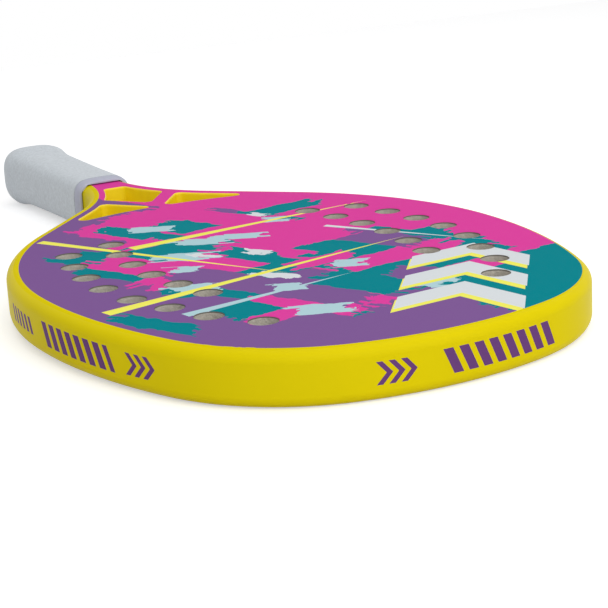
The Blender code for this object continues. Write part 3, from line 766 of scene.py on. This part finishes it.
def printed_film(colours):
    """Screen-printed polyurethane film under satin lacquer: flat inks with ragged brush edges and a
    fine grain. Its specular level is low, so that the inks stay deep when seen along the face. The
    design is a generic one of strokes, dabs, streaks and chevrons."""
    material, tree, shader, place = new_material(
        FILM_NAME, {"Roughness": 0.42, "IOR": 1.5, "Specular IOR Level": 0.002}
    )
    draw = random.Random(STROKE_SEED)
    stroke, cross, dab = [(brush[0], *frayed(tree, place, *brush)) for brush in BRUSHES]
    first_wall = brushed_wall(tree, *stroke[1:], row=23 * MM, length=50 * MM)
    second_wall = brushed_wall(tree, *cross[1:], row=20 * MM, length=64 * MM)

    def rectangle(brush, centre, half_length, half_width):
        """The limits of a patch along a brush's direction, about a centre in millimetres."""
        angle, lengthwise, sideways = brush
        middle = Vector(centre) * MM
        return [
            (lengthwise, middle.dot(normal_at(angle)), half_length * MM),
            (sideways, middle.dot(normal_at(angle + math.pi / 2)), half_width * MM),
        ]

    def scattered(count, reach_x, reach_y, length, width, brush):
        """Strokes or dabs spread over part of the face: ranges of their centres and sizes in mm."""
        shapes = []
        for index in range(count):
            x = reach_x[0] + (reach_x[1] - reach_x[0]) * (index + draw.random()) / count
            centre = (x, draw.uniform(*reach_y))
            shapes.append(rectangle(brush, centre, draw.uniform(*length), draw.uniform(*width)))
        return patches(tree, shapes)

    # The middle of the face has two walls of strokes that cross, over a ground in two colours. The
    # limits on a wall say which of its strokes take an ink, by their random numbers from 0 to 1
    _, along, across = stroke
    _, cross_along, cross_across = cross
    first = [(along, 97 * MM, 90 * MM), (across, -36 * MM, 66 * MM)]
    second = [(cross_along, 2 * MM, 78 * MM), (cross_across, -84 * MM, 80 * MM)]
    near_side = [(across, -198 * MM, 150 * MM)]
    heel = [(along, -95 * MM, 70 * MM), (across, -30 * MM, 50 * MM)]
    tip_side = [(cross_along, 60 * MM, 52 * MM), (cross_across, -205 * MM, 36 * MM)]
    teal = [first + [(first_wall, 0.24, 0.24)], second + [(second_wall, 0.19, 0.19)]]
    pink = [second + [(second_wall, 0.60, 0.12)], first + [(first_wall, 0.60, 0.10)]]
    layers = [
        (patches(tree, [near_side, heel]), colours.purple),
        (patches(tree, teal), colours.teal),
        (patches(tree, pink), colours.pink),
        (patches(tree, [first + [(first_wall, 0.95, 0.05)]]), colours.purple),
        (patches(tree, [tip_side]), colours.teal),
        (scattered(6, (10, 200), (-84, 20), (14, 26), (6, 10), stroke), colours.teal),
        (scattered(5, (20, 200), (-60, 60), (12, 22), (6, 9), cross), colours.pink),
        (scattered(11, (-4, 205), (-66, 66), (6, 12), (5, 8), dab), colours.ice),
        (scattered(4, (20, 160), (-50, 40), (5, 9), (3, 5), stroke), colours.pearl),
    ]

    # Long tapered streaks: centre, angle in degrees, half length, and half the widest width, in mm
    for centre, angle, half_length, half_width, colour in (
        ((30, 20), 96, 70, 3.4, colours.lemon),
        ((118, -20), 101, 84, 3.4, colours.lemon),
        ((150, -34), 99, 44, 2.8, colours.ice),
        ((60, -46), 27, 74, 2.6, colours.lemon),
        ((96, 66), 30, 44, 1.8, colours.pearl),
    ):
        lengthwise, sideways = turned(tree, place, math.radians(angle), centre)
        taper = {0: lengthwise, 1: -half_width / half_length / 2, 2: half_width * MM / 2}
        width = node(tree, MATH, taper, operation="MULTIPLY_ADD")[0]
        streak = [(sideways, 0.0, width), (lengthwise, 0.0, half_length * MM)]
        layers.append((patches(tree, [streak]), colour))

    # Nested chevrons near the tip, with an offset outline behind them
    for shift, colour in ((CHEVRON_OUTLINE, colours.lemon), (0, colours.pearl)):
        centre = (CHEVRON_CENTRE[0] + shift, CHEVRON_CENTRE[1] - shift)
        lengthwise, sideways = turned(tree, place, CHEVRON_ANGLE, centre)
        folded = node(tree, MATH, {0: sideways}, operation="ABSOLUTE")[0]
        lean = {0: folded, 1: CHEVRON_SLOPE, 2: lengthwise}
        leaning = node(tree, MATH, lean, operation="MULTIPLY_ADD")[0]
        sides = (sideways, 0.0, CHEVRON_HALF_WIDTH * MM)
        shapes = [[(leaning, at * MM, CHEVRON_HALF_BAND * MM), sides] for at in CHEVRON_STEPS]
        layers.append((patches(tree, shapes), colour))

    # Beyond the print's edge the film is clear over the paint. Only the rim has this attribute,
    # which is 0 elsewhere
    bare = node(tree, "ShaderNodeAttribute", attribute_name="bare")["Fac"]
    clear = [(bare, BARE_LEAST + BARE_REACH, BARE_REACH)]
    layers.append((patches(tree, [clear]), colours.paint))
    tree.links.new(inked(tree, shaded(colours.pink), layers), shader.inputs["Base Color"])
    grained(tree, shader, place, PEEL_SIZE, 0.6, 0.10, PEEL_DEPTH)
    return material


def satin_lacquer(colours):
    """Two-pack polyurethane, sprayed: satin, with a fine orange peel that breaks its highlights
    into specks. Groups of bars and chevrons are pad-printed on the side wall."""
    material, tree, shader, place = new_material(
        "sprayed satin lacquer", {"Roughness": 0.4, "IOR": 1.5, "Specular IOR Level": 0.025}
    )
    along = node(tree, "ShaderNodeAttribute", attribute_name="along")["Fac"]
    height = node(tree, "ShaderNodeSeparateXYZ", {0: place})["Z"]
    folded = node(tree, MATH, {0: height}, operation="ABSOLUTE")[0]
    leaning, pointed = [
        node(tree, MATH, {0: rise, 1: slope, 2: along}, operation="MULTIPLY_ADD")[0]
        for rise, slope in ((height, BAR_SLOPE), (folded, MARK_SLOPE))
    ]
    # Groups of marks: start and end along the rim, and their half height, pitch and thickness, all
    # in mm, with the distance that shapes them
    bars, chevrons = (5.2, 7.0, 4.4, leaning), (4.6, 5.0, 2.6, pointed)
    shapes = []
    for start, end, (half_height, pitch, thick, position) in (
        (-8, 48, bars),
        (-34, -20, chevrons),
        (-206, -154, bars),
        (-141, -126, chevrons),
        (-248, -218, (3.6, 5.0, 2.8, leaning)),
        (126, 141, chevrons),
        (154, 206, bars),
    ):
        phase = node(tree, MATH, {0: position, 1: start * MM}, operation="SUBTRACT")[0]
        phase = node(tree, MATH, {0: phase, 1: pitch * MM}, operation="FLOORED_MODULO")[0]
        marks = (phase, thick * MM / 2, thick * MM / 2)
        stretch = (position, (start + end) / 2 * MM, (end - start) / 2 * MM)
        shapes.append([marks, stretch, (height, 0.0, half_height * MM)])
    ground = clouded(tree, shader, place, 60 * MM, colours.paint, 0.95, 1.04, detail=2.0)
    marked = inked(tree, ground, [(patches(tree, shapes), colours.mark)])
    tree.links.new(marked, shader.inputs["Base Color"])
    grained(tree, shader, place, PEEL_SIZE, 0.6, 0.14, PEEL_DEPTH)
    return material


def drilled_foam(colours):
    """EVA foam, drilled: matt, with a faint mottle and its cut cells open. The cells are drawn
    coarser than the real ones, so that they show."""
    material, tree, shader, place = new_material(
        "drilled EVA foam", {"Roughness": 0.9, "IOR": 1.45, "Specular IOR Level": 0.2}
    )
    clouded(tree, shader, place, 2.5 * MM, colours.foam, 0.7, 1.25)
    foam = {"Vector": place, "Scale": 1 / (0.8 * MM)}
    cells = node(tree, "ShaderNodeTexVoronoi", foam)["Distance"]
    relief = {"Height": cells, "Strength": 0.5, "Distance": 0.4 * MM}
    tree.links.new(node(tree, "ShaderNodeBump", relief)["Normal"], shader.inputs["Normal"])
    return material


def cut_laminate(colours):
    """The skin's cut edge inside a hole: glass fibre and resin, pale grey-green and dull."""
    values = {"Roughness": 0.6, "IOR": 1.52}
    material, tree, shader, place = new_material("cut glass fibre laminate", values)
    clouded(tree, shader, place, 0.5 * MM, colours.laminate, 0.75, 1.2)
    return material


def grip_padding(colours):
    """Cushioned polyurethane over felt, drawn tight over the handle: a soft matt skin, with pores
    drawn coarser than the real ones."""
    values = {"Roughness": 0.55, "IOR": 1.5, "Sheen Weight": 0.15, "Sheen Roughness": 0.5}
    material, tree, shader, place = new_material("cushioned polyurethane grip", values)
    clouded(tree, shader, place, 1.6 * MM, colours.grip, 0.78, 1.24)
    grained(tree, shader, place, 1.4 * MM, 0.7, 0.4, 0.4 * MM)
    return material


def even_finish(colours, key):
    """A finish in one colour: faintly cloudy, with a fine texture from its brush or mould."""
    name, roughness, ior, grain, strength = FINISHES[key]
    material, tree, shader, place = new_material(name, {"Roughness": roughness, "IOR": ior})
    clouded(tree, shader, place, grain * 3, getattr(colours, key), 0.92, 1.08)
    grained(tree, shader, place, grain, 0.5, strength, grain / 4)
    return material


def plated_steel(colours):
    """Zinc-plated steel, cold-headed: bright but brushed by the tumbler, so its shine is soft."""
    values = {"Metallic": 1.0, "Base Color": shaded(colours.steel)}
    material, tree, shader, place = new_material("zinc-plated steel", values)
    haze = node(tree, NOISE, {"Vector": place, "Scale": 1 / (0.6 * MM), "Detail": 3.0})["Fac"]
    span = {"Value": haze, "To Min": 0.25, "To Max": 0.42}
    rough = node(tree, "ShaderNodeMapRange", span)["Result"]
    tree.links.new(rough, shader.inputs["Roughness"])
    return material


def finish_solid(name, material):
    """Gives a solid that stays in view its material and softened edges."""
    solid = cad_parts[name]
    solid.data.materials.clear()
    solid.data.materials.append(material)
    edge = solid.modifiers.new("softened edges", "BEVEL")
    edge.width = SOFT_EDGE
    edge.segments = 2
    edge.limit_method = "ANGLE"
    edge.angle_limit = SHARP_ANGLE
    edge.harden_normals = True


class RACKET_OT_frame_shell(bpy.types.Operator):
    """Build the painted moulding of rim and throat"""

    bl_idname = "racket.frame_shell"
    bl_label = "Frame shell"

    def execute(self, context):
        form = bmesh.new()
        build_frame_shell(form, context.scene.racket_sizes)
        colours = context.scene.racket_colours
        # The windows' lacquer is painted lighter than the frame's, as painted light
        inside = even_finish(colours, "window")
        materials = [satin_lacquer(colours), printed_film(colours), inside]
        nodes = ("frame_tube", "throat_yoke", "handle_core")
        finished_piece("frame_shell", form, materials, nodes)
        return {"FINISHED"}


class RACKET_OT_faces(bpy.types.Operator):
    """Build the two printed skins"""

    bl_idname = "racket.faces"
    bl_label = "Face skins"

    def execute(self, context):
        film = bpy.data.materials.get(FILM_NAME)
        if film is None:
            raise RuntimeError("The frame shell, which makes the print, isn't built yet")
        laminate = cut_laminate(context.scene.racket_colours)
        for name, side in (("top", 1), ("bottom", -1)):
            form = bmesh.new()
            build_skin(form, context.scene.racket_sizes, side)
            materials = [film, laminate]
            finished_piece(f"face_skin_{name}", form, materials, [f"face_{name}"])
        return {"FINISHED"}


class RACKET_OT_foam(bpy.types.Operator):
    """Build the drilled foam slab"""

    bl_idname = "racket.foam"
    bl_label = "Foam slab"

    def execute(self, context):
        form = bmesh.new()
        build_foam(form, context.scene.racket_sizes)
        material = drilled_foam(context.scene.racket_colours)
        finished_piece("foam_slab", form, [material], ["foam_core"])
        return {"FINISHED"}


class RACKET_OT_grip(bpy.types.Operator):
    """Build the padded grip and the band that closes it"""

    bl_idname = "racket.grip"
    bl_label = "Grip and collar"

    def execute(self, context):
        colours = context.scene.racket_colours
        form = bmesh.new()
        build_sleeve(form, smooth_between(GRIP_OUTSIDE, GRIP_STEPS), GRIP_INSIDE)
        padding = grip_padding(colours)
        sleeve = finished_piece("grip_sleeve", form, [padding], ["base_grip"])
        form = bmesh.new()
        build_sleeve(form, smooth_between(COLLAR_OUTSIDE, COLLAR_STEPS), COLLAR_INSIDE)
        rubber = even_finish(colours, "collar")
        finished_piece("collar_band", form, [rubber], ["grip_collar"])
        return {"FINISHED"}


class RACKET_OT_handle_parts(bpy.types.Operator):
    """Finish the handle's inner parts, the butt cap and its screws"""

    bl_idname = "racket.handle_parts"
    bl_label = "Handle parts"

    def execute(self, context):
        colours = context.scene.racket_colours
        foam, nylon = even_finish(colours, "pallet"), even_finish(colours, "nylon")
        steel = plated_steel(colours)
        for name, material in (
            ("handle_pallet_top", foam),
            ("handle_pallet_bottom", foam),
            ("butt_cap", nylon),
            ("butt_screw_top", steel),
            ("butt_screw_bottom", steel),
        ):
            finish_solid(name, material)
        return {"FINISHED"}


def shown_to(tree, *kinds):
    """One for the camera's rays and for other kinds of ray, and zero for light on the racket."""
    rays = node(tree, "ShaderNodeLightPath")
    shown = rays["Is Camera Ray"]
    for kind in kinds:
        shown = node(tree, MATH, {0: shown, 1: rays[kind]}, operation="MAXIMUM")[0]
    return shown


def floor_material():
    """Seamless studio paper: matt white, with a grain drawn coarser than the real one. To the
    camera and in reflections it is lifted to plain white, so that only shadows show."""
    material = bpy.data.materials.new("seamless studio paper")
    material.use_nodes = True
    tree = material.node_tree
    tree.nodes.clear()
    grain = node(tree, NOISE, {"Scale": FLOOR_SIZE / PAPER_GRAIN, "Detail": 2.0})["Fac"]
    dark, light = (shaded(linear_colour(tone)) for tone in (PAPER_DARK, PAPER_LIGHT))
    tones = {"Factor": grain, MIX_A: dark, MIX_B: light}
    tint = node(tree, MIX, tones, data_type="RGBA")[MIX_RESULT]
    paper = node(tree, "ShaderNodeBsdfDiffuse", {"Color": tint})[0]
    shown = shown_to(tree, "Is Glossy Ray")
    lift = node(tree, MATH, {0: shown, 1: FLOOR_LIFT}, operation="MULTIPLY")[0]
    glow = node(tree, "ShaderNodeEmission", {"Color": (1, 1, 1, 1), "Strength": lift})[0]
    surface = node(tree, "ShaderNodeAddShader", {0: paper, 1: glow})[0]
    node(tree, "ShaderNodeOutputMaterial", {"Surface": surface})
    return material


# The stage: the camera's place and angles, and the floor, which touches the undersides of the tip
# and of the flare
CAMERA_PLACE = Vector((733.7, -331.9, 192.5)) * MM
CAMERA_YAW, CAMERA_PITCH, CAMERA_ROLL = (math.radians(angle) for angle in (28.175, 15.899, -3.174))
CAMERA_LENS = 96.13
FLOOR_SIZE = 2.4
FLOOR_TIP = Vector((240 * MM, 0, -HALF_THICKNESS - 0.05 * MM))
FLOOR_FLARE = Vector((-231.5 * MM, 0, -17.85 * MM))
# The paper's tones, the size of its grain, and how much white the camera sees on top of it
PAPER_DARK, PAPER_LIGHT = "#dfdfe0", "#e2e2e2"
PAPER_GRAIN = 6 * MM
FLOOR_LIFT = 0.51
WORLD_LIGHT = 0.47
# Softboxes: name, place and size in metres, power in watts
SOFTBOXES = (
    ("softbox over", (0.2, 0.3, 1.6), 1.6, 8.5),
    ("softbox right", (1.5, 0.5, 0.6), 1.0, 5.0),
    ("softbox front", (1.25, -0.5, 0.95), 0.9, 5.5),
)


class RACKET_OT_stage(bpy.types.Operator):
    """Set up the floor, the light and the camera"""

    bl_idname = "racket.stage"
    bl_label = "Stage"

    def execute(self, context):
        scene = context.scene
        half = FLOOR_SIZE / 2
        corners = [(-half, -half, 0), (half, -half, 0), (half, half, 0), (-half, half, 0)]
        mesh = bpy.data.meshes.new("floor")
        mesh.from_pydata(corners, [], [(0, 1, 2, 3)])
        mesh.materials.append(floor_material())
        floor = bpy.data.objects.new("floor", mesh)
        slope = FLOOR_TIP - FLOOR_FLARE
        floor.location = FLOOR_TIP
        floor.rotation_euler.y = -math.atan2(slope.z, slope.x)
        scene.collection.objects.link(floor)

        # The camera and reflections see a white world, which gives the racket less light than that
        world = bpy.data.worlds.new("studio")
        world.use_nodes = True
        tree = world.node_tree
        tree.nodes.clear()
        shown = shown_to(tree, "Is Glossy Ray", "Is Transmission Ray")
        levels = {"Value": shown, "To Min": WORLD_LIGHT, "To Max": 1.0}
        level = node(tree, "ShaderNodeMapRange", levels)["Result"]
        sky = node(tree, "ShaderNodeBackground", {"Color": (1, 1, 1, 1), "Strength": level})[0]
        node(tree, "ShaderNodeOutputWorld", {"Surface": sky})
        scene.world = world

        for name, place, size, power in SOFTBOXES:
            lamp = bpy.data.lights.new(name, "AREA")
            lamp.size = size
            lamp.energy = power
            box = bpy.data.objects.new(name, lamp)
            box.location = place
            box.rotation_euler = Vector(place).to_track_quat("Z", "Y").to_euler()
            scene.collection.objects.link(box)

        lens = bpy.data.cameras.new("camera")
        lens.lens = CAMERA_LENS
        lens.clip_start, lens.clip_end = 0.01, 50
        camera = bpy.data.objects.new("camera", lens)
        look = Vector((
            -math.cos(CAMERA_YAW) * math.cos(CAMERA_PITCH),
            math.sin(CAMERA_YAW) * math.cos(CAMERA_PITCH),
            -math.sin(CAMERA_PITCH),
        ))
        right = look.cross(Vector((0, 0, 1))).normalized()
        axes = Matrix((right, right.cross(look), -look)).transposed()
        turn = axes @ Matrix.Rotation(CAMERA_ROLL, 3, "Z")
        camera.matrix_world = Matrix.Translation(CAMERA_PLACE) @ turn.to_4x4()
        scene.collection.objects.link(camera)
        scene.camera = camera
        scene.view_settings.view_transform = "Standard"
        return {"FINISHED"}


class RACKET_PT_panel(bpy.types.Panel):
    """Lists the racket's sizes, colours and pieces"""

    bl_idname = "RACKET_PT_panel"
    bl_label = "Beach tennis racket"
    bl_space_type = "VIEW_3D"
    bl_region_type = "UI"
    bl_category = "Racket"

    def draw(self, context):
        for group in (context.scene.racket_sizes, context.scene.racket_colours):
            box = self.layout.box()
            for key in group.__annotations__:
                box.prop(group, key)
        for operator in OPERATORS:
            self.layout.operator(operator.bl_idname)


OPERATORS = (
    RACKET_OT_frame_shell,
    RACKET_OT_faces,
    RACKET_OT_foam,
    RACKET_OT_grip,
    RACKET_OT_handle_parts,
    RACKET_OT_stage,
)
CLASSES = (RacketSizes, RacketColours, *OPERATORS, RACKET_PT_panel)


def register():
    for each in CLASSES:
        bpy.utils.register_class(each)
    bpy.types.Scene.racket_sizes = bpy.props.PointerProperty(type=RacketSizes)
    bpy.types.Scene.racket_colours = bpy.props.PointerProperty(type=RacketColours)


def unregister():
    del bpy.types.Scene.racket_colours
    del bpy.types.Scene.racket_sizes
    for each in reversed(CLASSES):
        bpy.utils.unregister_class(each)


def main():
    register()
    bpy.ops.racket.frame_shell()
    bpy.ops.racket.faces()
    bpy.ops.racket.foam()
    bpy.ops.racket.grip()
    bpy.ops.racket.handle_parts()
    bpy.ops.racket.stage()


if __name__ == "__main__":
    main()
